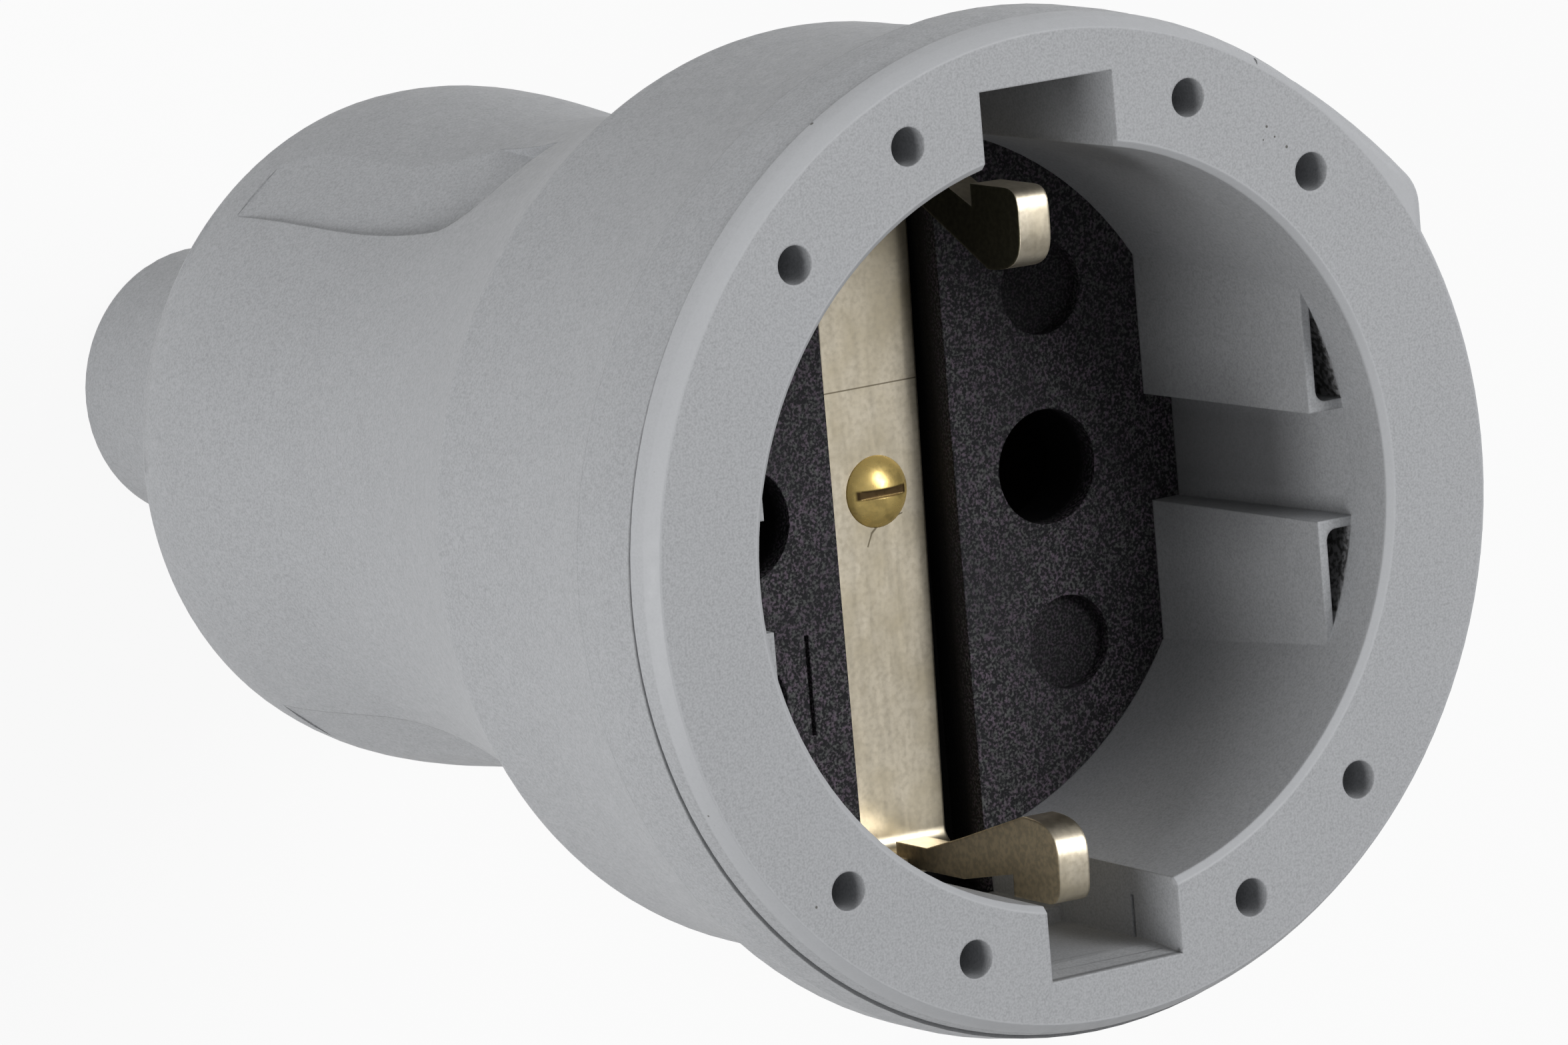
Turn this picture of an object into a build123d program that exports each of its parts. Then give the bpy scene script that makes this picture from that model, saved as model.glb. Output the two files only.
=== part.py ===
from build123d import *
from math import cos, radians, sin
import os

# A straight portable socket of the round side-earthed two-pin pattern.
# It stands on its cord nose with the face up. Depths are measured down from the face.
length = 87.2

# Collar that both outer mouldings share
collar_radius = 26.0
collar_draft = 0.3
collar_drop = 0.2
collar_depth = 6.0

# Front moulding
face_edge = 0.7
flange_depth = 1.7
parting_chamfer = 0.12
spigot_shoulder_radius = 23.6
spigot_shoulder_depth = 6.0
spigot_radius = 23.1
spigot_gap = 0.15
core_inner_radius = 20.6
core_outer_radius = 21.9
core_depth = 7.0
core_key_width = 11.4

# Well
floor_depth = 16.7
well_mouth_radius = 19.05
well_floor_radius = 18.85
mouth_chamfer = 0.3

# Notches for the plug's earth clips
notch_width = 8.0
notch_wall = 22.2
notch_flare = 0.3
notch_flare_depth = 2.4
notch_step = 0.8
notch_step_depth = 10.7
slit_depth = 4.1
slit_width = 0.25
slit_sink = 0.3
slit_height = 2.2

# Guide ribs on both sides of the well
rib_front_depth = 3.2
rib_front_x = 16.65
rib_floor_x = 15.9
rib_groove = 5.6
rib_wall = 0.5
rib_pocket_depth = 4.0
rib_pocket_corner = 0.6
groove_front_x = 19.0
groove_floor_x = 17.6

# Small blind holes in the rim
rim_hole_diameter = 1.96
rim_hole_circle = 22.14
rim_hole_depth = 4.6
rim_hole_angles = (22.5, 45.0)

# One-sided lug on the rim and the collar
lug_radius = 40.0
lug_inset = 0.3
lug_start_angle = 31.0
lug_end_x = 22.5
lug_corner_angle = 59.0
lug_corner = 2.4
lug_edge = 0.6

# Barrel: oval behind the collar, round at its rear edge
barrel_side_inset = 0.1
barrel_top_inset = 0.95
barrel_rear_radius = 24.0
barrel_rear_depth = 20.8
barrel_flare = 1.8
barrel_edge = 1.0
shoulder_depth = 22.4

# Grip and cord nose
grip_front_radius = 23.3
grip_front_depth = 23.6
grip_front_slope = 0.42
flare_radius = 20.1
flare_depth = 32.0
waist_radius = 17.6
waist_depth = 48.0
lip_radius = 18.4
lip_depth = 59.0
lip_edge_radius = 18.0
lip_edge_depth = 62.4
lip_round = 0.7
nose_base_radius = 9.1
nose_base_depth = 64.5
nose_base_round = 0.6
nose_end_radius = 7.6
nose_round = 1.0

# Finger recesses in the grip
recess_front_depth = 36.7
recess_rear_depth = 59.0
recess_upper_angle = 16.5
recess_lower_angle = 40.5
recess_rear_angle = 43.5
recess_deep = 1.7
recess_upper_deep = 0.55
recess_corner = 4.0

# Hollow of the sleeve
cavity_step = 0.5
cavity_radius = 14.8
cavity_end_depth = 61.0
cord_bore_radius = 4.75

# Black carrier at the bottom of the well
carrier_radius = 21.7
carrier_gap = 0.2
carrier_thickness = 4.3
pin_spacing = 19.0
pin_hole_radius = 3.0
dimple_diameter = 4.9
dimple_sink = 0.8
dimple_x = 10.0
dimple_y = 9.3
channel_width = 7.54
channel_sink = 3.0
seam_x = -6.1
seam_top_y = -6.2
seam_length = 5.2
seam_width = 0.25
seam_sink = 0.3

# Earth strap and its two spring arms
strap_width = 5.8
strap_thickness = 0.8
strap_turn = -1.4
strap_bend_y = 19.5
strap_bend_radius = 1.6
upstand_depth = 16.2
upstand_tip_width = 2.6
strap_x = 0.35
arm_left_x = -1.3
arm_right_x = 0.55
arm_nose_depth = 2.5
arm_nose_y = 18.0
arm_inner_y = 15.2
arm_inner_depth = 5.5
arm_outer_y = 19.45
arm_outer_depth = 3.7
arm_head_depth = 6.65
arm_step = 1.15
arm_neck_depth = 11.1
arm_neck_outer_y = 19.1
arm_neck_inner_y = 16.95
arm_root_y = 17.9
arm_root_depth = 14.4
arm_bend_top = 2.5
arm_bend_bottom = 0.0

# Centre screw
screw_head_radius = 1.88
screw_head_height = 0.9
screw_shank_radius = 1.25
screw_slot_width = 0.45
screw_slot_sink = 0.4
screw_reach = 5.0
screw_gap = 0.15

# Terminal base behind the carrier
base_gap = 0.3
base_flat_y = 12.0
base_front_length = 16.0
shelf_y = -3.5
shelf_length = 9.0
tail_half_width = 11.5
tail_length = 14.0

# Slotted contacts with their ring springs
guide_gap = 0.3
contact_radius = 2.95
contact_bore_radius = 2.45
contact_setback = 5.0
contact_bore_depth = 10.2
contact_slot_width = 0.8
contact_slot_length = 8.0
contact_stub_radius = 2.0
contact_stub_length = 3.0
contact_fit = 0.05
spring_setback = 7.0
spring_height = 2.5
spring_thickness = 0.4
spring_slot_width = 1.2
spring_gap = 0.25

# Wire terminals and their screws
terminal_size = 6.4
wire_hole_radius = 1.6
wire_hole_depth = 5.5
clamp_screw_radius = 1.4
clamp_head_radius = 1.9
clamp_head_height = 1.8
clamp_screw_gap = 0.05
clamp_slot_width = 0.5
clamp_slot_sink = 0.7
clamp_open = 0.6
earth_block_size = 7.0
earth_block_height = 11.0
earth_block_gap = 0.1

# Cord saddle
cord_bed_radius = 4.6
saddle_arch = 2.2
saddle_lug_thickness = 2.4
saddle_height = 6.0
saddle_from_tail_end = 3.0
saddle_screw_x = 8.4
saddle_screw_length = 8.0


def up(depth):
    """Height above the nose end of a depth below the face."""
    return length - depth


def at_angle(radius, angle, depth=0.0):
    """Point on a ring, with the angle taken from the upper notch."""
    return Vector(radius * sin(radians(angle)), radius * cos(radians(angle)), up(depth))


def turned(points):
    """Solid of revolution from (radius, depth) points."""
    outline = Polyline(*[(radius, 0, up(depth)) for radius, depth in points], close=True)
    return revolve(make_face(outline), axis=Axis.Z)


def rod(radius, top_depth, bottom_depth, x=0.0, y=0.0):
    """Upright cylinder between two depths."""
    height = bottom_depth - top_depth
    return Pos(x, y, up(bottom_depth) + height / 2) * Cylinder(radius, height)


def block(x_range, y_range, depth_range):
    """Box between two values along each direction."""
    size = [abs(end - start) for start, end in (x_range, y_range, depth_range)]
    middle = [(start + end) / 2 for start, end in (x_range, y_range, depth_range)]
    return Pos(middle[0], middle[1], up(middle[2])) * Box(*size)


def cross_rod(radius, y_start, y_end, x, depth):
    """Cylinder that lies along Y."""
    middle = Pos(x, (y_start + y_end) / 2, up(depth))
    return middle * Rot(90, 0, 0) * Cylinder(radius, abs(y_end - y_start))


# Values that follow from the sizes above
carrier_back = floor_depth + carrier_thickness
channel_floor = floor_depth + channel_sink
strap_top = channel_floor - strap_thickness
base_radius = cavity_radius - base_gap
base_rear = carrier_back + base_front_length
shelf_rear = base_rear + shelf_length
tail_rear = shelf_rear + tail_length
pin_x = pin_spacing / 2
earth_front = base_rear - earth_block_height
face_radius = collar_radius - collar_draft - face_edge
collar_front_radius = collar_radius - collar_draft
barrel_half_width = collar_radius - barrel_side_inset
barrel_half_height = collar_radius - barrel_top_inset
contact_front = carrier_back + contact_setback
spring_bore = contact_radius + contact_fit + spring_thickness + spring_gap


def make_shroud():
    """Front moulding: flange, spigot, well, notches, guide ribs and rim holes."""
    edge_middle = (
        (face_radius + 2 * collar_front_radius) / 3,
        0,
        up(flange_depth * 0.42),
    )
    rounded_edge = ThreePointArc(
        (face_radius, 0, up(0)),
        edge_middle,
        (collar_front_radius, 0, up(flange_depth - parting_chamfer)),
    )
    rest = Polyline(
        (collar_front_radius, 0, up(flange_depth - parting_chamfer)),
        (collar_front_radius - parting_chamfer, 0, up(flange_depth)),
        (spigot_shoulder_radius, 0, up(flange_depth)),
        (spigot_shoulder_radius, 0, up(spigot_shoulder_depth)),
        (spigot_radius, 0, up(spigot_shoulder_depth)),
        (spigot_radius, 0, up(floor_depth)),
        (well_floor_radius, 0, up(floor_depth)),
        (well_mouth_radius, 0, up(mouth_chamfer)),
        (well_mouth_radius + mouth_chamfer, 0, up(0)),
        (face_radius, 0, up(0)),
    )
    body = revolve(make_face(rounded_edge + rest), axis=Axis.Z)
    body += rounded_front(rim_lug(0, flange_depth, 0))
    body -= shroud_coring()
    body += guide_ribs()
    body -= rib_pockets()
    for turn in (0, 180):
        body -= Rot(0, 0, turn) * notch_cut()
    body -= notch_slit()
    body -= rim_holes()
    return body


def rim_lug(front, rear, draft):
    """One-sided widening along a larger circle, with a rounded corner and a square end."""
    touching_radius = collar_front_radius - lug_inset + draft
    centre = at_angle(touching_radius - lug_radius, lug_start_angle, rear)
    start = at_angle(lug_radius, lug_start_angle, rear)
    wedge = Polyline(
        (0, 0, up(rear)),
        (start.X, start.Y, up(rear)),
        (lug_end_x + draft, start.Y, up(rear)),
        (lug_end_x + draft, 0, up(rear)),
        close=True,
    )
    disc = Pos(centre.X, centre.Y, up(rear)) * Circle(lug_radius)
    plan = make_face(wedge) & disc
    corner = at_angle(collar_radius, lug_corner_angle, rear)
    plan = fillet(plan.vertices().sort_by_distance(corner)[0], lug_corner)
    lug = extrude(plan, amount=rear - front, dir=(0, 0, 1))
    return lug - rod(spigot_shoulder_radius + spigot_gap, front, rear)


def rounded_front(lug):
    """The lug with its outer front edge rounded."""
    corner = at_angle(collar_radius, lug_corner_angle)
    outline = lug.faces().sort_by(Axis.Z)[-1].edges().sort_by_distance(corner)
    return fillet(outline[:3], lug_edge)


def shroud_coring():
    """Ring groove that keeps the wall even, open behind and stopped at the notches."""
    ring = rod(core_outer_radius, core_depth, floor_depth)
    ring -= rod(core_inner_radius, core_depth, floor_depth)
    half_key = core_key_width / 2
    return ring - block(
        (-half_key, half_key), (-collar_radius, collar_radius), (core_depth, floor_depth)
    )


def notch_cut():
    """Square notch through the well's wall, flared at the face and stepped below."""
    inner_y = well_floor_radius - 2
    profile = Polyline(
        (0, inner_y, up(0)),
        (0, notch_wall + notch_flare, up(0)),
        (0, notch_wall, up(notch_flare_depth)),
        (0, notch_wall, up(notch_step_depth)),
        (0, notch_wall - notch_step, up(notch_step_depth)),
        (0, notch_wall - notch_step, up(floor_depth)),
        (0, inner_y, up(floor_depth)),
        close=True,
    )
    return extrude(make_face(profile), amount=notch_width / 2, dir=(1, 0, 0), both=True)


def notch_slit():
    """Short slit in the right wall of the lower notch."""
    half = notch_width / 2
    return block(
        (half, half + slit_sink),
        (-notch_wall, slit_height - notch_wall),
        (slit_depth - slit_width / 2, slit_depth + slit_width / 2),
    )


def rib_wedge(inset, top_depth, bottom_depth, radius):
    """Drafted segment between a flat inner face and the round wall, for the +X +Y rib."""
    draft = (rib_floor_x - rib_front_x) / (floor_depth - rib_front_depth)
    top_x = rib_front_x + inset + draft * (top_depth - rib_front_depth)
    bottom_x = rib_front_x + inset + draft * (bottom_depth - rib_front_depth)
    start_y = rib_groove / 2 + inset
    profile = Polyline(
        (top_x, start_y, up(top_depth)),
        (radius + 1, start_y, up(top_depth)),
        (radius + 1, start_y, up(bottom_depth)),
        (bottom_x, start_y, up(bottom_depth)),
        close=True,
    )
    wedge = extrude(make_face(profile), amount=radius, dir=(0, 1, 0))
    return wedge & rod(radius, top_depth, bottom_depth)


def on_four_sides(shape):
    """The shape with its mirror images across both upright middle planes."""
    pair = [shape, mirror(shape, about=Plane.YZ)]
    return pair + [mirror(one, about=Plane.XZ) for one in pair]


def guide_ribs():
    """Four ribs, two on each side of the well, with a drafted pad between each two."""
    wall_middle = (well_floor_radius + core_inner_radius) / 2
    ribs = on_four_sides(rib_wedge(0, rib_front_depth, floor_depth, wall_middle))
    profile = Polyline(
        (groove_front_x, 0, up(rib_front_depth)),
        (wall_middle, 0, up(rib_front_depth)),
        (wall_middle, 0, up(floor_depth)),
        (groove_floor_x, 0, up(floor_depth)),
        close=True,
    )
    pad = extrude(make_face(profile), amount=rib_groove / 2, dir=(0, 1, 0), both=True)
    return ribs + [pad, mirror(pad, about=Plane.YZ)]


def rib_pockets():
    """Blind pockets in the front ends of the ribs."""
    bottom = rib_front_depth + rib_pocket_depth
    pocket = rib_wedge(rib_wall, rib_front_depth, bottom, well_mouth_radius)
    corner = Vector(rib_front_x, rib_groove / 2, up(rib_front_depth))
    upright = pocket.edges().filter_by(lambda edge: abs(edge.tangent_at(0.5).Z) > 0.9)
    pocket = fillet(upright.sort_by_distance(corner)[0], rib_pocket_corner)
    return on_four_sides(pocket)


def rim_holes():
    """Blind holes beside the notches."""
    holes = []
    for middle in (0, 180):
        for angle in rim_hole_angles:
            for side in (-1, 1):
                place = at_angle(rim_hole_circle, middle + side * angle)
                holes.append(rod(rim_hole_diameter / 2, 0, rim_hole_depth, place.X, place.Y))
    return holes


def make_sleeve():
    """Rear moulding: collar, oval barrel, waisted grip and cord nose, hollow."""
    body = Pos(0, -collar_drop, 0) * turned(
        [
            (0, flange_depth),
            (collar_front_radius, flange_depth),
            (collar_radius, (flange_depth + collar_depth) / 2),
            (collar_radius, collar_depth),
            (0, collar_depth),
        ]
    )
    body += rim_lug(flange_depth, collar_depth, collar_draft)
    body += barrel()
    body += grip_and_nose()
    body -= sleeve_hollow()
    for turn in (0, 180):
        for cutter in (finger_recess(), mirror(finger_recess(), about=Plane.YZ)):
            body -= Rot(0, 0, turn) * cutter
    return body


def barrel():
    """Skin from the oval behind the collar to the round rear edge."""
    sections = []
    for share in (0.0, 0.25, 0.5, 0.75, 1.0):
        depth = collar_depth + share * (barrel_rear_depth - collar_depth)
        rise = (1 - share) ** barrel_flare
        half_width = barrel_rear_radius + rise * (barrel_half_width - barrel_rear_radius)
        half_height = barrel_rear_radius + rise * (barrel_half_height - barrel_rear_radius)
        sections.append(Pos(0, 0, up(depth)) * Ellipse(half_width, half_height))
    return loft(sections)


def grip_and_nose():
    """Turned rear half: barrel edge, flare, waist, lip and tapering nose."""
    waist = Spline(
        (grip_front_radius, 0, up(grip_front_depth)),
        (flare_radius, 0, up(flare_depth)),
        (waist_radius, 0, up(waist_depth)),
        (lip_radius, 0, up(lip_depth)),
        tangents=((-grip_front_slope, 0, -1), (0, 0, -1)),
    )
    lip = TangentArc(
        (lip_radius, 0, up(lip_depth)),
        (lip_edge_radius, 0, up(lip_edge_depth)),
        tangent=(0, 0, -1),
    )
    front = Polyline(
        (0, 0, up(barrel_rear_depth)),
        (barrel_rear_radius, 0, up(barrel_rear_depth)),
        (barrel_rear_radius, 0, up(shoulder_depth)),
        (grip_front_radius, 0, up(grip_front_depth)),
    )
    rear = Polyline(
        (lip_edge_radius, 0, up(lip_edge_depth)),
        (nose_base_radius, 0, up(nose_base_depth)),
        (nose_end_radius, 0, 0),
        (0, 0, 0),
        (0, 0, up(barrel_rear_depth)),
    )
    solid = revolve(make_face(front + waist + lip + rear), axis=Axis.Z)
    for depth, radius, size in (
        (shoulder_depth, barrel_rear_radius, barrel_edge),
        (lip_edge_depth, lip_edge_radius, lip_round),
        (nose_base_depth, nose_base_radius, nose_base_round),
        (length, nose_end_radius, nose_round),
    ):
        seam = Vector(radius, 0, up(depth))
        rings = solid.edges().filter_by(GeomType.CIRCLE)
        solid = fillet(rings.sort_by_distance(seam)[0], size)
    return solid


def sleeve_hollow():
    """Stepped hollow for the front moulding, the carrier and the terminal base, and the cord."""
    step_depth = floor_depth + cavity_step
    shoulder_end = spigot_shoulder_depth + spigot_gap
    return turned(
        [
            (0, flange_depth),
            (spigot_shoulder_radius + spigot_gap, flange_depth),
            (spigot_shoulder_radius + spigot_gap, shoulder_end),
            (spigot_radius + spigot_gap, shoulder_end),
            (spigot_radius + spigot_gap, step_depth),
            (carrier_radius + carrier_gap, step_depth),
            (carrier_radius + carrier_gap, carrier_back),
            (cavity_radius, carrier_back),
            (cavity_radius, cavity_end_depth),
            (cord_bore_radius, cavity_end_depth),
            (cord_bore_radius, length),
            (0, length),
        ]
    )


def finger_recess():
    """Scoop with a sloped floor, deepest at its front lower corner, for the upper left."""
    upper_radius = waist_radius - recess_upper_deep
    top = at_angle(upper_radius, -recess_upper_angle, recess_front_depth)
    corner = at_angle(waist_radius - recess_deep, -recess_lower_angle, recess_front_depth)
    rear = at_angle(lip_radius, -recess_rear_angle, recess_rear_depth)
    across = top - corner
    along = rear - corner
    outward = across.cross(along)
    if outward.dot(at_angle(1, -recess_lower_angle) - Vector(0, 0, up(0))) < 0:
        outward = outward * -1
    floor = Plane(origin=corner, x_dir=across, z_dir=outward)
    rear = floor.to_local_coords(rear)
    wide = across.length
    outline = Polyline((0, 0), (wide, 0), (wide, rear.Y), (rear.X, rear.Y), close=True)
    face = make_face(outline)
    face = fillet(face.vertices().sort_by_distance(Vector(0, 0, 0))[0], recess_corner)
    return extrude(floor * face, amount=lip_radius - waist_radius + 3 * recess_deep)


def make_carrier():
    """Black well floor with pin holes, strap channel, shallow dimples and a short seam."""
    body = rod(carrier_radius, floor_depth, carrier_back)
    for side in (-1, 1):
        body -= rod(pin_hole_radius, floor_depth, carrier_back, side * pin_x)
        for end in (-1, 1):
            body -= rod(
                dimple_diameter / 2,
                floor_depth,
                floor_depth + dimple_sink,
                side * dimple_x,
                end * dimple_y,
            )
    half = channel_width / 2
    body -= block((-half, half), (-carrier_radius, carrier_radius), (floor_depth, channel_floor))
    body -= rod(screw_shank_radius + screw_gap, channel_floor, carrier_back, strap_x)
    body -= block(
        (seam_x - seam_width / 2, seam_x + seam_width / 2),
        (seam_top_y - seam_length, seam_top_y),
        (floor_depth, floor_depth + seam_sink),
    )
    return body


def strap_end():
    """Upper end of the strap: a bend towards the face that narrows to a tip."""
    outer = strap_bend_y
    inner = outer - strap_thickness
    flat_end = outer - strap_bend_radius
    profile = Polyline(
        (0, flat_end - 1, up(strap_top)),
        (0, inner, up(strap_top)),
        (0, inner, up(upstand_depth)),
        (0, outer, up(upstand_depth)),
        (0, outer, up(channel_floor)),
        (0, flat_end - 1, up(channel_floor)),
        close=True,
    )
    end = extrude(make_face(profile), amount=strap_width / 2, dir=(1, 0, 0), both=True)
    corners = end.edges().filter_by(Axis.X)
    outer_corner = corners.sort_by_distance(Vector(0, outer, up(channel_floor)))[0]
    end = fillet(outer_corner, strap_bend_radius)
    inner_corner = end.edges().filter_by(Axis.X).sort_by_distance(Vector(0, inner, up(strap_top)))[0]
    end = fillet(inner_corner, strap_bend_radius - strap_thickness)
    taper = Polyline(
        (-strap_width / 2, 0, up(channel_floor)),
        (-strap_width / 2, 0, up(strap_top - 0.4)),
        (-upstand_tip_width / 2, 0, up(upstand_depth)),
        (upstand_tip_width / 2, 0, up(upstand_depth)),
        (strap_width / 2, 0, up(strap_top - 0.4)),
        (strap_width / 2, 0, up(channel_floor)),
        close=True,
    )
    return end & extrude(make_face(taper), amount=outer, dir=(0, 1, 0))


def arm_blade(bend):
    """Folded spring arm on edge: rounded head with a square step, neck bent inwards, root."""
    root_y = strap_bend_y - strap_thickness / 2
    root_depth = upstand_depth + 1

    def place(y, depth):
        """Point of the outline, shifted inwards by the bend, in full at the head."""
        share = min(1, (root_depth - depth) / (root_depth - arm_head_depth))
        return Vector(arm_left_x, y - bend * share, up(depth))

    nose = Spline(
        place(arm_inner_y, arm_inner_depth),
        place(arm_nose_y, arm_nose_depth),
        place(arm_outer_y, arm_outer_depth),
        tangents=((0, 0, 1), (0, 0, -1)),
    )
    sides = Polyline(
        place(arm_outer_y, arm_outer_depth),
        place(arm_outer_y, arm_head_depth),
        place(arm_outer_y - arm_step, arm_head_depth),
        place(arm_neck_outer_y, arm_neck_depth),
        place(root_y, root_depth),
        place(arm_root_y, root_depth),
        place(arm_root_y, arm_root_depth),
        place(arm_neck_inner_y, arm_neck_depth),
        place(arm_inner_y, arm_inner_depth),
    )
    return extrude(make_face(nose + sides), amount=arm_right_x - arm_left_x, dir=(1, 0, 0))


def make_strap():
    """Earth strap: flat bar across the channel with a spring arm at each end."""
    half = strap_width / 2
    reach = strap_bend_y - strap_bend_radius - 0.5
    bar = block((-half, half), (-reach, reach), (strap_top, channel_floor))
    top = strap_end() + arm_blade(arm_bend_top)
    bottom = mirror(strap_end() + arm_blade(arm_bend_bottom), about=Plane.XZ)
    strap = bar + top + bottom
    strap -= rod(screw_shank_radius + screw_gap, strap_top, channel_floor)
    return Pos(strap_x, 0, 0) * Rot(0, 0, strap_turn) * strap


def make_centre_screw():
    """Domed slotted screw through the strap, carrier and base into the earth terminal."""
    dome_radius = (screw_head_radius**2 + screw_head_height**2) / (2 * screw_head_height)
    head = Pos(0, 0, up(strap_top) + screw_head_height - dome_radius) * Sphere(dome_radius)
    head &= rod(screw_head_radius, strap_top - screw_head_height, strap_top)
    half = screw_slot_width / 2
    top = strap_top - screw_head_height
    head -= block((-screw_head_radius, screw_head_radius), (-half, half), (top, top + screw_slot_sink))
    screw = head + rod(screw_shank_radius, strap_top, earth_front + screw_reach)
    return Pos(strap_x, 0, 0) * screw


def make_base():
    """Terminal base: bored front block, shelf under the terminals and tail with the cord bed."""
    body = rod(base_radius, carrier_back, base_rear)
    body &= block(
        (-base_radius, base_radius), (-base_flat_y, base_flat_y), (carrier_back, base_rear)
    )
    rear_part = rod(base_radius, base_rear, tail_rear)
    shelf = block((-base_radius, base_radius), (-base_flat_y, shelf_y), (base_rear, shelf_rear))
    tail = block((-tail_half_width, tail_half_width), (-base_flat_y, 0), (shelf_rear, tail_rear))
    body += rear_part & (shelf + tail)
    body -= rod(cord_bed_radius, shelf_rear, tail_rear)
    for side in (-1, 1):
        body -= rod(pin_hole_radius + guide_gap, carrier_back, contact_front, side * pin_x)
        body -= rod(spring_bore, contact_front, base_rear, side * pin_x)
        body -= cross_rod(
            clamp_screw_radius + clamp_screw_gap,
            saddle_lug_thickness - saddle_screw_length,
            0,
            side * saddle_screw_x,
            saddle_middle(),
        )
    half = earth_block_size / 2 + earth_block_gap
    body -= block((-half, half), (-half, half), (earth_front, base_rear))
    body -= rod(screw_shank_radius + screw_gap, carrier_back, earth_front, strap_x)
    window = clamp_head_radius + 2 * spring_gap
    screw_depth = earth_screw_depth()
    body -= block(
        (-window, window), (0, base_flat_y), (screw_depth - window, base_rear)
    )
    return body


def saddle_middle():
    """Depth of the saddle's middle, measured from the tail's end."""
    return tail_rear - saddle_from_tail_end - saddle_height / 2


def earth_screw_depth():
    """Depth of the earth terminal's clamp screw, over its wire hole."""
    return base_rear - wire_hole_depth / 2


def make_live_contact(side):
    """Slotted socket for a round pin, with a stub for its terminal."""
    front = contact_front
    tube = rod(contact_radius, front, base_rear)
    tube -= rod(contact_bore_radius, front, front + contact_bore_depth)
    half = contact_slot_width / 2
    tube -= block((-contact_radius, contact_radius), (-half, half), (front, front + contact_slot_length))
    tube += rod(contact_stub_radius, base_rear, base_rear + contact_stub_length)
    return Pos(side * pin_x, 0, 0) * tube


def make_contact_spring(side):
    """Split steel ring that closes the slotted socket on the pin."""
    inner = contact_radius + contact_fit
    top = carrier_back + spring_setback
    ring = rod(inner + spring_thickness, top, top + spring_height)
    ring -= rod(inner, top, top + spring_height)
    ring -= block((0, 2 * inner), (-spring_slot_width / 2, spring_slot_width / 2), (top, top + spring_height))
    return Pos(side * pin_x, 0, 0) * ring


def wire_block(size, front, rear):
    """Square brass block with a wire hole from behind and a screw hole from above."""
    half = size / 2
    body = block((-half, half), (-half, half), (front, rear))
    body = chamfer(body.edges().filter_by(Axis.Z), 0.4)
    body -= rod(wire_hole_radius, rear - wire_hole_depth, rear)
    screw_depth = rear - wire_hole_depth / 2
    return body - cross_rod(clamp_screw_radius + clamp_screw_gap, 0, half, 0, screw_depth)


def make_live_terminal(side):
    """Wire terminal pressed on the contact's stub."""
    body = wire_block(terminal_size, base_rear, shelf_rear)
    hole = base_rear + contact_stub_length
    body -= rod(contact_stub_radius + contact_fit, base_rear, hole)
    return Pos(side * pin_x, 0, 0) * body


def make_earth_terminal():
    """Earth terminal, tapped in front for the centre screw."""
    body = wire_block(earth_block_size, earth_front, base_rear)
    thread = rod(screw_shank_radius + contact_fit, earth_front, earth_front + screw_reach, strap_x)
    return body - thread


def clamp_screw(x, seat, tip, depth):
    """Slotted cheese-head screw that points down along Y."""
    head_top = seat + clamp_head_height
    screw = cross_rod(clamp_screw_radius, tip, seat, x, depth)
    screw += cross_rod(clamp_head_radius, seat, head_top, x, depth)
    half = clamp_slot_width / 2
    return screw - block(
        (x - half, x + half),
        (head_top - clamp_slot_sink, head_top),
        (depth - clamp_head_radius, depth + clamp_head_radius),
    )


def make_live_screws():
    """Clamp screws of the two live terminals."""
    depth = shelf_rear - wire_hole_depth / 2
    seat = terminal_size / 2 + clamp_open
    return Compound(children=[clamp_screw(side * pin_x, seat, 0.3, depth) for side in (-1, 1)])


def make_earth_screw():
    """Clamp screw of the earth terminal."""
    return clamp_screw(0, earth_block_size / 2 + clamp_open, 0.3, earth_screw_depth())


def make_saddle():
    """Bridge that holds the cord down on its bed."""
    middle = saddle_middle()
    span = (middle - saddle_height / 2, middle + saddle_height / 2)
    arch = rod(cord_bed_radius + saddle_arch, *span)
    body = arch & block((-tail_half_width, tail_half_width), (0, base_radius), span)
    body += block((-tail_half_width, tail_half_width), (0, saddle_lug_thickness), span)
    body -= rod(cord_bed_radius, *span)
    for side in (-1, 1):
        body -= cross_rod(
            clamp_screw_radius + screw_gap, 0, saddle_lug_thickness, side * saddle_screw_x, middle
        )
    return body


def make_saddle_screws():
    """Two screws that pull the saddle down."""
    tip = saddle_lug_thickness - saddle_screw_length
    middle = saddle_middle()
    return Compound(
        children=[
            clamp_screw(side * saddle_screw_x, saddle_lug_thickness, tip, middle)
            for side in (-1, 1)
        ]
    )


parts = {
    "socket_shroud": make_shroud(),
    "sleeve": make_sleeve(),
    "contact_carrier": make_carrier(),
    "earth_strap": make_strap(),
    "centre_screw": make_centre_screw(),
    "terminal_base": make_base(),
    "live_contact_left": make_live_contact(-1),
    "live_contact_right": make_live_contact(1),
    "contact_spring_left": make_contact_spring(-1),
    "contact_spring_right": make_contact_spring(1),
    "live_terminal_left": make_live_terminal(-1),
    "live_terminal_right": make_live_terminal(1),
    "earth_terminal": make_earth_terminal(),
    "live_screws": make_live_screws(),
    "earth_screw": make_earth_screw(),
    "cord_saddle": make_saddle(),
    "saddle_screws": make_saddle_screws(),
}

os.makedirs("parts", exist_ok=True)
for name, shape in parts.items():
    export_step(shape, f"parts/{name}.step")
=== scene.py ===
from math import radians

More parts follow.
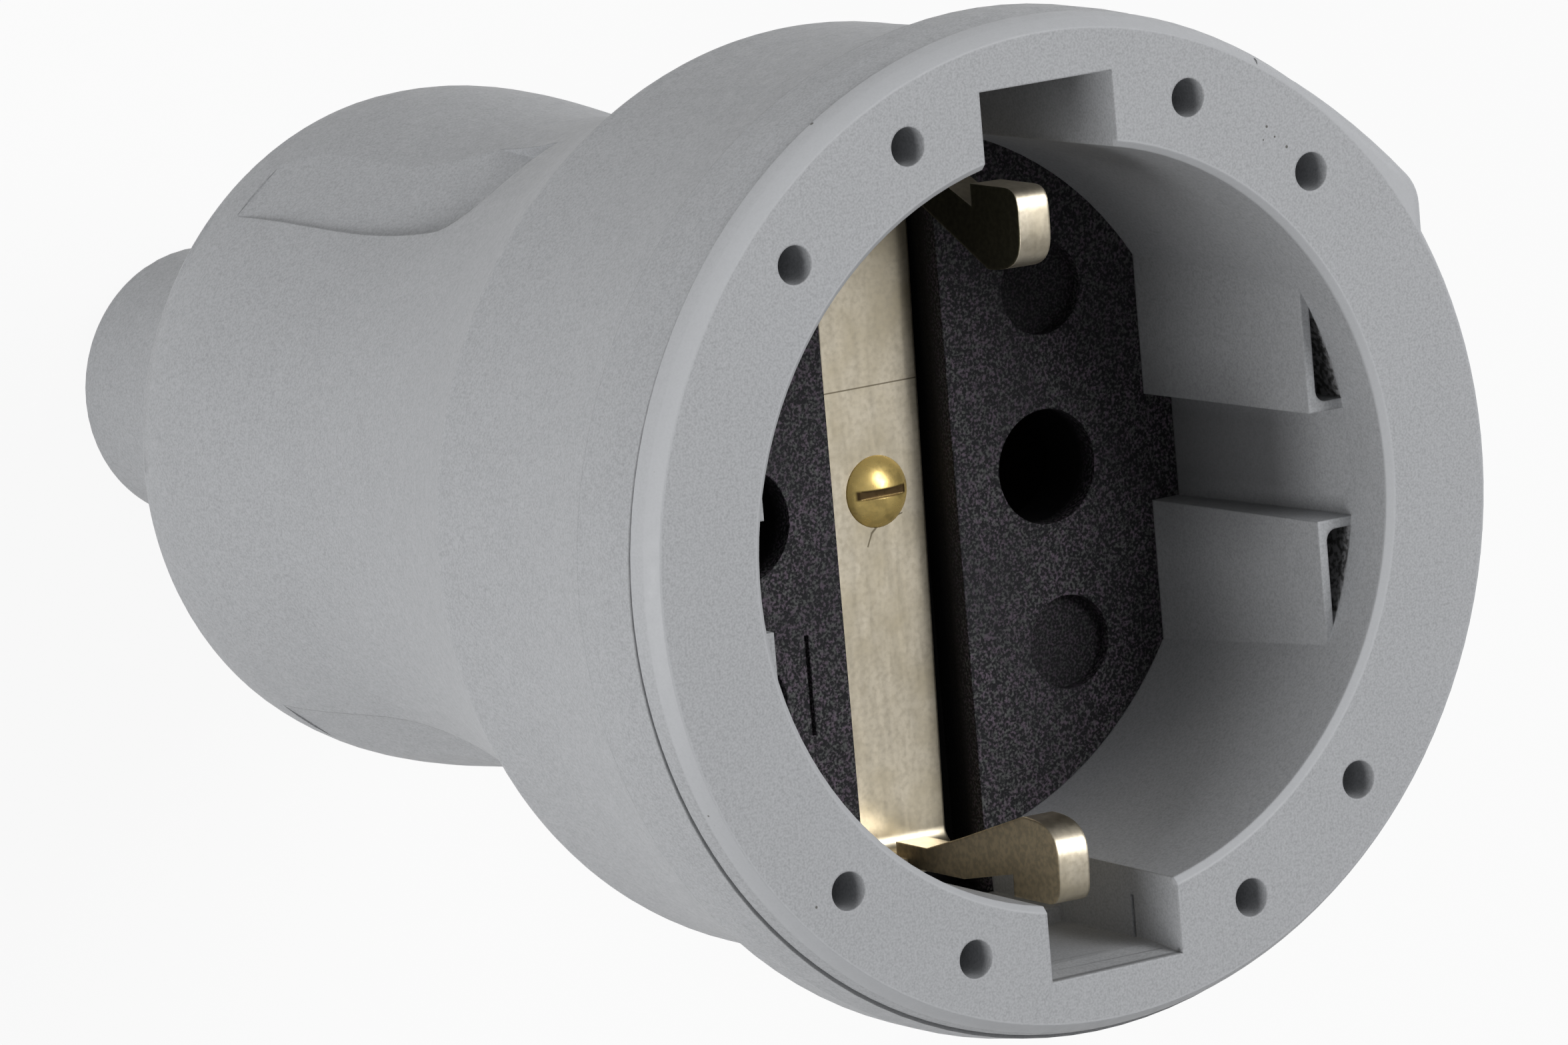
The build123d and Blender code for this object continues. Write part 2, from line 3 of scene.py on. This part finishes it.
import bpy
from mathutils import Euler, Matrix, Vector

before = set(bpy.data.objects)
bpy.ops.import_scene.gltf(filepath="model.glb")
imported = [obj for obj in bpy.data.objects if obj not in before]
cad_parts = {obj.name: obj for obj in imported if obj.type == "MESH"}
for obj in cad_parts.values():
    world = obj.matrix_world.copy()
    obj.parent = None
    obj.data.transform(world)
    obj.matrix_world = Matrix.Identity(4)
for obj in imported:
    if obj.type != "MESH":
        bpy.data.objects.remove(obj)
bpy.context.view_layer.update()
scene = bpy.context.scene
MM = 0.001

# Camera of the photograph, found from the holes, the notches and the rim
LENS_MM = 250.46
SENSOR_MM = 36
CAMERA_PLACE = (-0.301534, 0.093183, 0.529810)
CAMERA_TURN_DEGREES = (-6.5274, -33.3838, -5.8381)
CLIP_START = 0.05
CLIP_END = 20

# Heights and sizes on the object, in millimetres
CARRIER_FACE_Z = 70.5
# Height below which the carrier gets painted shade
CARRIER_SHADE_Z = CARRIER_FACE_Z - 0.85
STRAP_FACE_Z = 68.3
SCREW_X = 0.35
SLOT_HALF_LENGTH = 1.5
SLOT_HALF_WIDTH = 0.24
SLOT_HEIGHT = 1.2
# Heights over which the painted highlight on the flange grows towards the top
FLANGE_SHADE_Y = (-8, 4)

# Boxes, as two corners in millimetres
# Box where painted shade darkens the rib groove
RIB_GROOVE = ((15.5, -3.6, 60.0), (22.0, 3.6, 80.0))
RIB_POCKETS = (
    ((17.15, 3.3, 80.0), (20.5, 7.6, 83.95)),
    ((17.15, -7.6, 80.0), (20.5, -3.3, 83.95)),
)
UPPER_ARM = ((-6.0, 12.0, 70.0), (6.0, 21.0, 88.0))
LOWER_ARM = ((-6.0, -21.0, 70.0), (6.0, -12.0, 88.0))
SCREW_SLOT = (
    (SCREW_X - SLOT_HALF_LENGTH, -SLOT_HALF_WIDTH, STRAP_FACE_Z),
    (SCREW_X + SLOT_HALF_LENGTH, SLOT_HALF_WIDTH, STRAP_FACE_Z + SLOT_HEIGHT),
)

# Rings about the axis, as two radii and two heights in millimetres
# Ring of the painted highlight on the flange
FLANGE_HIGHLIGHT_RING = (25.2, 26.6, 85.62, 86.5)
PARTING_RING = (25.6, 26.6, 85.40, 85.58)
# Painted highlights on the rounded rim edge and on the well's mouth
EDGE_HIGHLIGHT_RINGS = (
    (24.92, 26.5, 86.45, 88.0),
    (18.9, 19.42, 86.8, 88.0),
)

# Straight marks, as two ends and a radius in millimetres
# Painted shade lines standing for small steps on the notch wall
NOTCH_STEP_SHADE_LINES = (
    ((-4.2, -22.4, 86.9), (4.2, -22.4, 86.9), 0.22),
    ((-4.2, -22.4, 85.6), (3.6, -22.4, 85.9), 0.12),
    ((-4.2, -22.3, 84.0), (1.2, -22.3, 84.4), 0.14),
    ((-3.4, -22.3, 82.9), (0.2, -22.3, 83.3), 0.08),
)
SCRATCHES = (
    ((-2.6, 5.48, STRAP_FACE_Z), (3.3, 5.48, STRAP_FACE_Z), 0.05),
    ((-0.45, -2.75, STRAP_FACE_Z), (-0.15, -2.1, STRAP_FACE_Z), 0.06),
    ((-0.15, -2.1, STRAP_FACE_Z), (0.4, -1.65, STRAP_FACE_Z), 0.08),
    ((0.4, -1.65, STRAP_FACE_Z), (1.8, -1.35, STRAP_FACE_Z), 0.05),
)

# Dark specks, as a centre and a radius in millimetres
RIM_SPECKS = (
    ((-7.49, 24.65, 86.45), 0.16),
    ((-24.53, 6.81, 86.76), 0.13),
    ((-25.45, 3.80, 86.49), 0.24),
    ((-22.86, -11.14, 86.79), 0.12),
    ((-23.10, -10.60, 86.70), 0.09),
    ((13.15, 18.31, 87.2), 0.09),
    ((14.28, 17.12, 87.2), 0.10),
    ((13.59, 17.73, 87.2), 0.07),
    ((12.88, 17.67, 87.2), 0.06),
    ((-17.6, -16.1, 87.2), 0.09),
    ((-12.99, 22.18, 85.70), 0.12),
)
SLEEVE_SPECKS = (
    ((-25.9, 3.6, 78.4), 0.12),
    ((-22.6, -10.2, 66.0), 0.12),
)

# Soft borders of masks: in millimetres, or as the share of a mark's radius that is solid
RING_BLUR = 0.05
PARTING_BLUR = 0.03
POCKET_BLUR = 0.08
GROOVE_BLUR = 2.0
ARM_BLUR = 0.3
SLOT_BLUR = 0.06
SUNK_SHADE_BLUR = 0.55
SPECK_CORE = 0.6
STROKE_CORE = 0.4

# Noises, as scale per metre, detail and seed
GREY_MOTTLE = (260, 2, 1.0)
GREY_GRAIN = (3600, 3, 2.0)
GREY_FINE_GRAIN = (8200, 1, 2.5)
POCKET_GRAIN = (3400, 2, 2.7)
GREY_SHEEN = (1500, 2, 3.0)
GREY_WAVES = (700, 2, 4.0)
BLACK_GRAIN = (7200, 1, 5.0)
BLACK_TINT = (2600, 1, 5.5)
BLACK_PATCHES = (260, 2, 6.0)
ROLLING_MARKS = (2400, 2, 7.0)
NICKEL_STAINS = (330, 4, 8.0)
NICKEL_GRAIN = (3400, 2, 8.5)
SCREW_MARKS = (2600, 2, 9.0)
CONTACT_MARKS = (1800, 2, 9.0)
STEEL_MARKS = (2400, 2, 9.0)
METAL_PATCHES = (900, 3, 9.5)
ROLLING_STRETCH = (1, 0.12, 1)

# How high a noise is where roughness starts and stops to change, and how far left a surface faces
ROUGHNESS_BAND = (0.3, 0.7)
LEFT_FACING = (-0.55, -0.85)

# Colours of the plastics
GREY = (0.372, 0.380, 0.394)
SPECK = (0.11, 0.108, 0.10)
# Pocket walls: rough speckled grain, darkened with painted shade
POCKET_WALL_GRAIN_AND_SHADE = ((0.06, 0.06, 0.06), (0.26, 0.26, 0.27))
BLACK = (0.02, 0.02, 0.022)
BLACK_GROUND = (0.010, 0.010, 0.012)
BLACK_SPARKLE = ((0.098, 0.102, 0.100), (0.120, 0.094, 0.122))
BLACK_PATCH = (0.018, 0.018, 0.021)
# Painted shade on sunk black surfaces
BLACK_SUNK_SHADE = (0.004, 0.004, 0.005)

# Colours of the metals
NICKEL = (0.80, 0.71, 0.55)
NICKEL_CLEAN = (0.83, 0.75, 0.60)
NICKEL_STAIN = (0.66, 0.58, 0.42)
NICKEL_DULL = (0.60, 0.53, 0.40)
# Painted reflections on the spring arms' left sides: dark on the upper arm, lit on the lower
UPPER_ARM_DARK_REFLECTION = (0.15, 0.14, 0.085)
LOWER_ARM_LIT_REFLECTION = (0.80, 0.66, 0.43)
SCRATCH = (0.26, 0.22, 0.15)
SCREW_BRASS = (1.0, 0.74, 0.26)
# Painted shade in the screw slot
SLOT_SHADE = (0.10, 0.06, 0.02)
CONTACT_BRASS = (0.72, 0.53, 0.25)
PLATED_STEEL = (0.55, 0.55, 0.54)

# Floor and light: lamps as name, direction from the object, distance, size and watts
FLOOR_HALF_SIDE = 3.0
FLOOR_COLOUR = (0.58, 0.58, 0.58)
FLOOR_GLOW_SHARE = 0.92
WORLD_STRENGTH = 0.25
LIT_POINT = Vector((0, 0, 0.060))
LAMPS = (
    ("front", (0.40, 0.38, 0.83), 0.9, 0.45, 5.6),
    ("side", (-1.0, -0.16, 0.21), 0.8, 0.4, 3.7),
)

# Places of the colour sockets on Blender's mix node
MIX_COLOURS_IN = (6, 7)
MIX_COLOUR_OUT = 2


# Camera

def add_camera():
    """The photograph's own viewpoint."""
    data = bpy.data.cameras.new("camera")
    data.lens = LENS_MM
    data.sensor_width = SENSOR_MM
    data.clip_start = CLIP_START
    data.clip_end = CLIP_END
    camera = bpy.data.objects.new("camera", data)
    scene.collection.objects.link(camera)
    camera.location = CAMERA_PLACE
    camera.rotation_euler = Euler([radians(angle) for angle in CAMERA_TURN_DEGREES])
    scene.camera = camera


# Node helpers

class Shader:
    """A material's nodes around one surface shader, with short ways to add more."""

    def __init__(self, name, colour, roughness, metallic=0.0):
        self.material = bpy.data.materials.new(name)
        self.material.use_nodes = True
        self.tree = self.material.node_tree
        self.surface = self.tree.nodes["Principled BSDF"]
        self.surface.inputs["Base Color"].default_value = (*colour, 1)
        self.surface.inputs["Roughness"].default_value = roughness
        self.surface.inputs["Metallic"].default_value = metallic
        coordinates = self.node("ShaderNodeTexCoord").outputs
        self.place = coordinates["Object"]
        self.facing = coordinates["Normal"]
        self.normal = None

    def node(self, kind, **settings):
        """A new node with its settings."""
        made = self.tree.nodes.new(kind)
        for name, value in settings.items():
            setattr(made, name, value)
        return made

    def join(self, source, target):
        """A link from one socket to another."""
        self.tree.links.new(source, target)

    def feed(self, socket, value):
        """Gives a socket a link, a colour, a vector or a number."""
        if isinstance(value, bpy.types.NodeSocket):
            self.join(value, socket)
        elif isinstance(value, tuple):
            socket.default_value = (*value, 1)
        else:
            socket.default_value = value

    def axes(self, vector):
        """The X, Y and Z of a vector."""
        parts = self.node("ShaderNodeSeparateXYZ")
        self.join(vector, parts.inputs[0])
        return [parts.outputs[axis] for axis in "XYZ"]

    def math(self, operation, first, second):
        """One number made from two."""
        made = self.node("ShaderNodeMath", operation=operation)
        self.feed(made.inputs[0], first)
        self.feed(made.inputs[1], second)
        return made.outputs[0]

    def vector_math(self, operation, *vectors):
        """The Vector and Value made from one or two vectors."""
        made = self.node("ShaderNodeVectorMath", operation=operation)
        for socket, vector in zip(made.inputs, vectors):
            self.feed(socket, vector)
        return made.outputs

    def noise(self, per_metre, detail, seed, place=None):
        """Soft noise on the object's own coordinates, or on others."""
        made = self.node("ShaderNodeTexNoise", noise_dimensions="4D")
        made.inputs["Scale"].default_value = per_metre
        made.inputs["Detail"].default_value = detail
        made.inputs["W"].default_value = seed
        self.join(place or self.place, made.inputs["Vector"])
        return made.outputs["Fac"]

    def spread(self, value, band, reach=(0.0, 1.0)):
        """Carries a value from one range over to another, and holds it at the ends."""
        made = self.node("ShaderNodeMapRange")
        for name, number in zip(("From Min", "From Max", "To Min", "To Max"), (*band, *reach)):
            made.inputs[name].default_value = number
        self.join(value, made.inputs["Value"])
        return made.outputs["Result"]

    def mix(self, share, first, second):
        """Blend of two colours."""
        made = self.node("ShaderNodeMix", data_type="RGBA")
        self.join(share, made.inputs["Factor"])
        for place, colour in zip(MIX_COLOURS_IN, (first, second)):
            self.feed(made.inputs[place], colour)
        return made.outputs[MIX_COLOUR_OUT]

    def layer(self, tone, noise, colour, band, share=1.0):
        """Lays a colour over a tone where a noise is high."""
        return self.mix(self.spread(noise, band, (0.0, share)), tone, colour)

    def cover(self, tone, mask, colour, share):
        """Lays a colour over a tone inside a mask, by a share of its strength."""
        return self.mix(self.math("MULTIPLY", mask, share), tone, colour)

    def colour(self, source):
        """Gives the surface its colour."""
        self.join(source, self.surface.inputs["Base Color"])

    def roughness(self, noise, reach):
        """Gives the surface a roughness that a noise moves between two values."""
        self.join(self.spread(noise, ROUGHNESS_BAND, reach), self.surface.inputs["Roughness"])

    def bump(self, source, depth_mm, strength):
        """Adds a bump of the given depth on top of those before."""
        made = self.node("ShaderNodeBump")
        made.inputs["Strength"].default_value = strength
        made.inputs["Distance"].default_value = depth_mm * MM
        self.join(source, made.inputs["Height"])
        self.join(self.normal, made.inputs["Normal"])
        self.use_normal(made)

    def soft_edges(self, radius_mm):
        """Slightly rounded edges."""
        made = self.node("ShaderNodeBevel", samples=6)
        made.inputs["Radius"].default_value = radius_mm * MM
        self.use_normal(made)

    def use_normal(self, made):
        """Gives the surface a node's normal."""
        self.normal = made.outputs["Normal"]
        self.join(self.normal, self.surface.inputs["Normal"])


def scaled(colour, factor):
    """A darker or lighter tone of a colour."""
    return tuple(factor * part for part in colour)


# Masks, with places in millimetres

def below(shader, value, limit, blur):
    """One where a coordinate is under a limit."""
    return shader.spread(value, ((limit + blur) * MM, (limit - blur) * MM))


def between(shader, value, low, high, blur):
    """One where a coordinate lies between two limits."""
    return shader.math("SUBTRACT", below(shader, value, high, blur), below(shader, value, low, blur))


def box_mask(shader, low, high, blur):
    """One inside a box."""
    sides = zip(shader.axes(shader.place), low, high)
    across, up, along = [between(shader, *side, blur) for side in sides]
    return shader.math("MULTIPLY", shader.math("MULTIPLY", across, up), along)


def ring_mask(shader, low_radius, high_radius, low_z, high_z, blur=RING_BLUR):
    """One inside a ring about the object's axis."""
    flat = shader.vector_math("MULTIPLY", shader.place, Vector((1, 1, 0)))["Vector"]
    radius = shader.vector_math("LENGTH", flat)["Value"]
    height = shader.axes(shader.place)[2]
    around = between(shader, radius, low_radius, high_radius, blur)
    return shader.math("MULTIPLY", around, between(shader, height, low_z, high_z, blur))


def speck_mask(shader, centre, radius):
    """One inside a small ball."""
    distance = shader.vector_math("DISTANCE", shader.place, Vector(centre) * MM)["Value"]
    return shader.spread(distance, (radius * MM, radius * MM * SPECK_CORE))


def stroke_mask(shader, start, end, radius):
    """One along a straight thin line."""
    start = Vector(start) * MM
    run = Vector(end) * MM - start
    offset = shader.vector_math("SUBTRACT", shader.place, start)["Vector"]
    along = shader.vector_math("DOT_PRODUCT", offset, run / run.length_squared)["Value"]
    nearest = shader.vector_math("MULTIPLY", run, shader.spread(along, (0.0, 1.0)))["Vector"]
    distance = shader.vector_math("DISTANCE", offset, nearest)["Value"]
    return shader.spread(distance, (radius * MM, radius * MM * STROKE_CORE))


# Materials

def mould_grain(shader, grain):
    """A faint mottle under the dark and the light grains that an eroded mould leaves."""
    mottle = shader.spread(shader.noise(*GREY_MOTTLE), (0.35, 0.65))
    tone = shader.mix(mottle, scaled(GREY, 0.98), scaled(GREY, 1.02))
    tone = shader.layer(tone, grain, scaled(GREY, 0.76), band=(0.35, 0.65), share=0.6)
    fine = shader.noise(*GREY_FINE_GRAIN)
    return shader.layer(tone, fine, scaled(GREY, 1.24), band=(0.38, 0.62), share=0.6)


def shroud_marks(shader, tone):
    """Painted shade in the rib groove, rough pocket walls darkened with painted shade, painted
    highlights on the rounded edges, and painted shade lines at the notch's steps.
    """
    # painted shade in the rib groove
    groove = box_mask(shader, *RIB_GROOVE, GROOVE_BLUR)
    tone = shader.cover(tone, groove, scaled(GREY, 0.25), share=0.75)
    # rough speckle on the pocket walls, darkened with painted shade
    rough = shader.spread(shader.noise(*POCKET_GRAIN), (0.42, 0.58))
    for pocket in RIB_POCKETS:
        tone = shader.mix(box_mask(shader, *pocket, POCKET_BLUR), tone, shader.mix(rough, *POCKET_WALL_GRAIN_AND_SHADE))
    # painted highlights on the rounded edges
    for ring in EDGE_HIGHLIGHT_RINGS:
        tone = shader.cover(tone, ring_mask(shader, *ring), scaled(GREY, 1.28), share=0.8)
    # painted shade lines at the steps of the notch wall
    for shade_line in NOTCH_STEP_SHADE_LINES:
        tone = shader.cover(tone, stroke_mask(shader, *shade_line), scaled(GREY, 0.3), share=0.7)
    return tone


def flange_highlight_and_parting(shader, tone):
    """Painted highlight on the flange, stronger towards the top, and the dark parting line behind it.
    """
    height = shader.axes(shader.place)[1]
    upper = shader.spread(height, [limit * MM for limit in FLANGE_SHADE_Y], (0.0, 0.7))
    flange = shader.math("MULTIPLY", ring_mask(shader, *FLANGE_HIGHLIGHT_RING), upper)
    tone = shader.mix(flange, tone, scaled(GREY, 1.28))
    parting = ring_mask(shader, *PARTING_RING, PARTING_BLUR)
    return shader.cover(tone, parting, scaled(GREY, 0.35), share=0.5)


def grey_plastic(name, specks, marks=None):
    """Fine matt moulded thermoplastic with a few dark specks."""
    shader = Shader(name, GREY, roughness=0.5)
    shader.soft_edges(radius_mm=0.15)
    grain = shader.noise(*GREY_GRAIN)
    tone = mould_grain(shader, grain)
    if marks:
        tone = marks(shader, tone)
    # painted highlight on the flange, and its real dark parting line
    tone = flange_highlight_and_parting(shader, tone)
    for speck in specks:
        tone = shader.mix(speck_mask(shader, *speck), tone, SPECK)
    shader.colour(tone)
    shader.roughness(shader.noise(*GREY_SHEEN), reach=(0.48, 0.62))
    shader.bump(grain, depth_mm=0.015, strength=0.5)
    shader.bump(shader.noise(*GREY_WAVES), depth_mm=0.01, strength=0.15)
    return shader.material


def black_plastic(name, shade_below):
    """Black moulding with the coarse sparkle of an eroded mould, and painted shade where it is sunk."""
    shader = Shader(name, BLACK, roughness=0.6)
    shader.surface.inputs["Specular IOR Level"].default_value = 0.2
    shader.soft_edges(radius_mm=0.12)
    grain = shader.noise(*BLACK_GRAIN)
    tint = shader.spread(shader.noise(*BLACK_TINT), (0.40, 0.60))
    tone = shader.layer(BLACK_GROUND, grain, shader.mix(tint, *BLACK_SPARKLE), band=(0.44, 0.66))
    patches = shader.noise(*BLACK_PATCHES)
    tone = shader.layer(tone, patches, BLACK_PATCH, band=(0.4, 0.7), share=0.35)
    # painted shade on the surfaces below the given height
    depth = below(shader, shader.axes(shader.place)[2], shade_below, SUNK_SHADE_BLUR)
    shader.colour(shader.mix(depth, tone, BLACK_SUNK_SHADE))
    shader.roughness(grain, reach=(0.55, 0.8))
    shader.bump(grain, depth_mm=0.03, strength=0.7)
    return shader.material


def arm_side_reflections(shader, tone, grain):
    """Painted reflections on the left side of each spring arm, mottled: dark on the upper arm, lit
    brown-gold on the lower.
    """
    left = shader.spread(shader.axes(shader.facing)[0], LEFT_FACING)
    mottle = shader.spread(grain, (0.40, 0.60))
    for arm, reflection in ((UPPER_ARM, UPPER_ARM_DARK_REFLECTION), (LOWER_ARM, LOWER_ARM_LIT_REFLECTION)):
        side = shader.math("MULTIPLY", box_mask(shader, *arm, ARM_BLUR), left)
        tone = shader.mix(side, tone, shader.mix(mottle, reflection, scaled(reflection, 0.78)))
    return tone


def nickel(name):
    """Nickelled strip with a warm cast, rolled along its length, stained and lightly scratched."""
    shader = Shader(name, NICKEL, roughness=0.4, metallic=1.0)
    shader.soft_edges(radius_mm=0.18)
    lengthwise = shader.vector_math("MULTIPLY", shader.place, Vector(ROLLING_STRETCH))["Vector"]
    rolled = shader.noise(*ROLLING_MARKS, place=lengthwise)
    grain = shader.noise(*NICKEL_GRAIN)
    tone = shader.layer(NICKEL_CLEAN, shader.noise(*NICKEL_STAINS), NICKEL_STAIN, band=(0.45, 0.70))
    tone = shader.layer(tone, grain, NICKEL_DULL, band=(0.42, 0.68), share=0.6)
    # painted reflections on the spring arms' left sides
    tone = arm_side_reflections(shader, tone, grain)
    for scratch in SCRATCHES:
        tone = shader.mix(stroke_mask(shader, *scratch), tone, SCRATCH)
    shader.colour(tone)
    shader.roughness(rolled, reach=(0.35, 0.42))
    shader.bump(rolled, depth_mm=0.006, strength=0.4)
    shader.bump(grain, depth_mm=0.006, strength=0.4)
    return shader.material


def metal(name, colour, roughness, marks, metallic=1.0, slot=None):
    """Turned or rolled metal with fine tool marks, and painted shade in the screw slot where one is
    given.
    """
    shader = Shader(name, colour, roughness, metallic)
    shader.soft_edges(radius_mm=0.1)
    lines = shader.noise(*marks)
    patches = shader.noise(*METAL_PATCHES)
    tone = shader.layer(colour, lines, scaled(colour, 0.82), band=(0.35, 0.7))
    tone = shader.layer(tone, patches, scaled(colour, 0.45), band=(0.5, 0.62), share=0.6)
    if slot:
        # painted shade in the screw slot
        tone = shader.mix(box_mask(shader, *slot, SLOT_BLUR), tone, SLOT_SHADE)
    shader.colour(tone)
    shader.roughness(lines, reach=(roughness * 0.8, roughness * 1.3))
    shader.bump(lines, depth_mm=0.008, strength=0.4)
    shader.bump(patches, depth_mm=0.03, strength=0.5)
    return shader.material


def dress(material, *nodes):
    """Gives a material to CAD nodes."""
    for node in nodes:
        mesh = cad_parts[node].data
        mesh.materials.clear()
        mesh.materials.append(material)


def dress_all():
    """Gives every CAD node its material."""
    dress(grey_plastic("sleeve_grey", SLEEVE_SPECKS), "sleeve")
    dress(grey_plastic("shroud_grey", RIM_SPECKS, shroud_marks), "socket_shroud")
    dress(black_plastic("carrier_black", CARRIER_SHADE_Z), "contact_carrier")
    # the base gets painted shade below the carrier's face
    dress(black_plastic("base_black", CARRIER_FACE_Z), "terminal_base", "cord_saddle")
    dress(nickel("strap_nickel"), "earth_strap")
    screw = metal("screw_brass", SCREW_BRASS, 0.3, SCREW_MARKS, metallic=0.6, slot=SCREW_SLOT)
    dress(screw, "centre_screw")
    brass = metal("contact_brass", CONTACT_BRASS, 0.33, CONTACT_MARKS)
    steel = metal("plated_steel", PLATED_STEEL, 0.32, STEEL_MARKS)
    for side in ("left", "right"):
        dress(brass, f"live_contact_{side}", f"live_terminal_{side}")
        dress(steel, f"contact_spring_{side}")
    dress(brass, "earth_terminal")
    dress(steel, "live_screws", "earth_screw", "saddle_screws")


# Floor, light and background

def floor_material():
    """Pale floor that glows near white where it is seen, reflected or seen through."""
    shader = Shader("floor_white", FLOOR_COLOUR, roughness=0.9)
    rays = shader.node("ShaderNodeLightPath").outputs
    seen = shader.math("MAXIMUM", rays["Is Camera Ray"], rays["Is Glossy Ray"])
    seen = shader.math("MAXIMUM", seen, rays["Is Transmission Ray"])
    glow = shader.node("ShaderNodeEmission")
    glow.inputs["Strength"].default_value = 1.0
    blend = shader.node("ShaderNodeMixShader")
    shader.join(shader.math("MULTIPLY", seen, FLOOR_GLOW_SHARE), blend.inputs["Fac"])
    shader.join(shader.surface.outputs[0], blend.inputs[1])
    shader.join(glow.outputs[0], blend.inputs[2])
    shader.join(blend.outputs[0], shader.tree.nodes["Material Output"].inputs["Surface"])
    return shader.material


def add_floor():
    """Square floor under the nose end."""
    side = FLOOR_HALF_SIDE
    corners = [(-side, -side, 0), (side, -side, 0), (side, side, 0), (-side, side, 0)]
    mesh = bpy.data.meshes.new("floor")
    mesh.from_pydata(corners, [], [(0, 1, 2, 3)])
    mesh.materials.append(floor_material())
    floor = bpy.data.objects.new("floor", mesh)
    scene.collection.objects.link(floor)


def add_lamp(name, direction, distance, size, watts):
    """Square soft lamp that faces the object."""
    data = bpy.data.lights.new(name, "AREA")
    data.shape = "SQUARE"
    data.size = size
    data.energy = watts
    lamp = bpy.data.objects.new(name, data)
    scene.collection.objects.link(lamp)
    towards = Vector(direction).normalized()
    lamp.location = LIT_POINT + towards * distance
    lamp.rotation_euler = towards.to_track_quat("Z", "Y").to_euler()


def add_light():
    """Even studio light: a front lamp for the face, a low one for the left side, a pale world."""
    world = bpy.data.worlds.new("studio")
    scene.world = world
    world.use_nodes = True
    background = world.node_tree.nodes["Background"]
    background.inputs["Color"].default_value = (1, 1, 1, 1)
    background.inputs["Strength"].default_value = WORLD_STRENGTH
    for lamp in LAMPS:
        add_lamp(*lamp)


add_camera()
dress_all()
add_floor()
add_light()
scene.view_settings.view_transform = "Standard"
